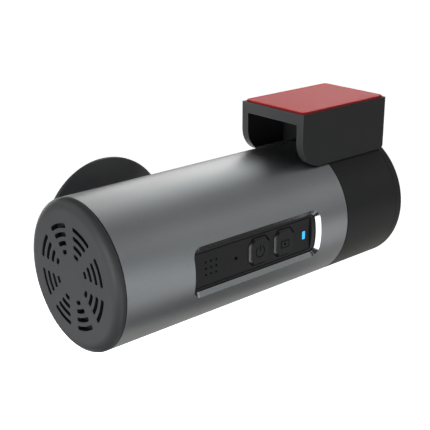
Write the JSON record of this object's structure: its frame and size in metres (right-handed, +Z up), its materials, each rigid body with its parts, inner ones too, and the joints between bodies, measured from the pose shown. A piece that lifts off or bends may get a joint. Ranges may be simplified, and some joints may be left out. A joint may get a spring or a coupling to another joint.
{
  "type": "dash camera",
  "caption": "Barrel dash camera that turns in a windscreen bracket: vented end cap, rear key panel with status light, dish shaped lens pod and adhesive pad.",
  "frame": {"origin": "centre of the top face of the adhesive pad's release liner, where the camera hangs from the windscreen", "axes": "+Z up out of the pad, +X along the barrel from the vented end to the hinge end, +Y forward to the road (lens side), so the keys face -Y"},
  "size_m": [0.1, 0.0426, 0.0501],
  "materials": {
    "tube_grey": "satin anodised grey aluminium",
    "black_plastic": "fine matte moulded ABS",
    "cap_grey": "fine matte moulded ABS",
    "panel_black": "fine matte moulding",
    "button_black": "satin moulding",
    "gloss_black": "polished",
    "red_film": "satin release film",
    "red_foam": "closed cell foam",
    "light_blue": "translucent light guide",
    "steel": "satin",
    "aluminium": "satin",
    "brass": "machined",
    "board_green": "solder mask",
    "chip_black": "moulded epoxy",
    "nylon_white": "satin",
    "lens_glass": "polished and coated",
    "flex_amber": "polyimide film",
    "mesh_black": "fine woven mesh",
    "rubber_black": "matte",
    "thermal_grey": "silicone gap pad",
    "capacitor_blue": "heat shrink sleeve"
  },
  "bodies": {
    "mount": {"mount_bracket": "black_plastic", "adhesive_foam_pad": "red_foam", "release_liner": "red_film", "bracket_screw_1": "steel", "bracket_screw_2": "steel", "hinge_housing": "black_plastic", "hinge_end_cap": "black_plastic", "hinge_bush": "nylon_white", "usb_socket_shell": "steel", "usb_socket_tongue": "chip_black", "power_board": "board_green", "power_lead_mount_end": "rubber_black"},
    "barrel": {"tube_shell": "tube_grey", "vent_end_cap": "cap_grey", "dust_mesh": "mesh_black", "speaker_frame": "black_plastic", "speaker_cone": "mesh_black", "speaker_magnet": "steel", "tube_bulkhead": "black_plastic", "pivot_shaft": "steel", "wave_washer": "steel", "pivot_nut": "brass", "panel_bezel": "panel_black", "rear_panel": "panel_black", "key_board": "board_green", "power_switch": "steel", "photo_switch": "steel", "reset_switch": "steel", "led_light_pipe": "light_blue", "status_led": "nylon_white", "microphone": "steel", "inner_frame": "black_plastic", "main_board": "board_green", "processor": "chip_black", "thermal_pad": "thermal_grey", "heat_spreader": "aluminium", "memory_chip": "chip_black", "supercapacitor_1": "capacitor_blue", "supercapacitor_2": "capacitor_blue", "power_lead_barrel_end": "rubber_black", "sd_socket": "steel", "sensor_ribbon": "flex_amber", "key_ribbon": "flex_amber", "lens_pod": "black_plastic", "pod_front_bezel": "gloss_black", "cover_glass": "lens_glass", "sensor_board": "board_green", "image_sensor": "gloss_black", "lens_holder": "black_plastic", "ir_filter": "lens_glass", "lens_barrel": "black_plastic", "lens_element_front": "lens_glass", "lens_element_middle": "lens_glass", "lens_element_rear": "lens_glass"},
    "power_key": {"power_button": "button_black", "power_switch_plunger": "nylon_white"},
    "photo_key": {"photo_button": "button_black", "photo_switch_plunger": "nylon_white"},
    "reset_key": {"reset_plunger": "nylon_white"},
    "memory_card": {"sd_card": "chip_black"}
  },
  "joints": [
    {"name": "barrel_pitch", "type": "hinge", "parent": "mount", "child": "barrel", "pos_m": [0, 0, -0.031], "axis": [1, 0, 0], "range_deg": [-60, 60]},
    {"name": "power_press", "type": "slide", "parent": "barrel", "child": "power_key", "axis": [0, 1, 0], "range_m": [0, 0.0004], "stiffness_N_per_m": 3200},
    {"name": "photo_press", "type": "slide", "parent": "barrel", "child": "photo_key", "axis": [0, 1, 0], "range_m": [0, 0.0004], "stiffness_N_per_m": 3200},
    {"name": "reset_press", "type": "slide", "parent": "barrel", "child": "reset_key", "axis": [0, 1, 0], "range_m": [0, 0.00025], "stiffness_N_per_m": 3200},
    {"name": "card_slide", "type": "slide", "parent": "barrel", "child": "memory_card", "axis": [0, 0, -1], "range_m": [0, 0.016]}
  ]
}
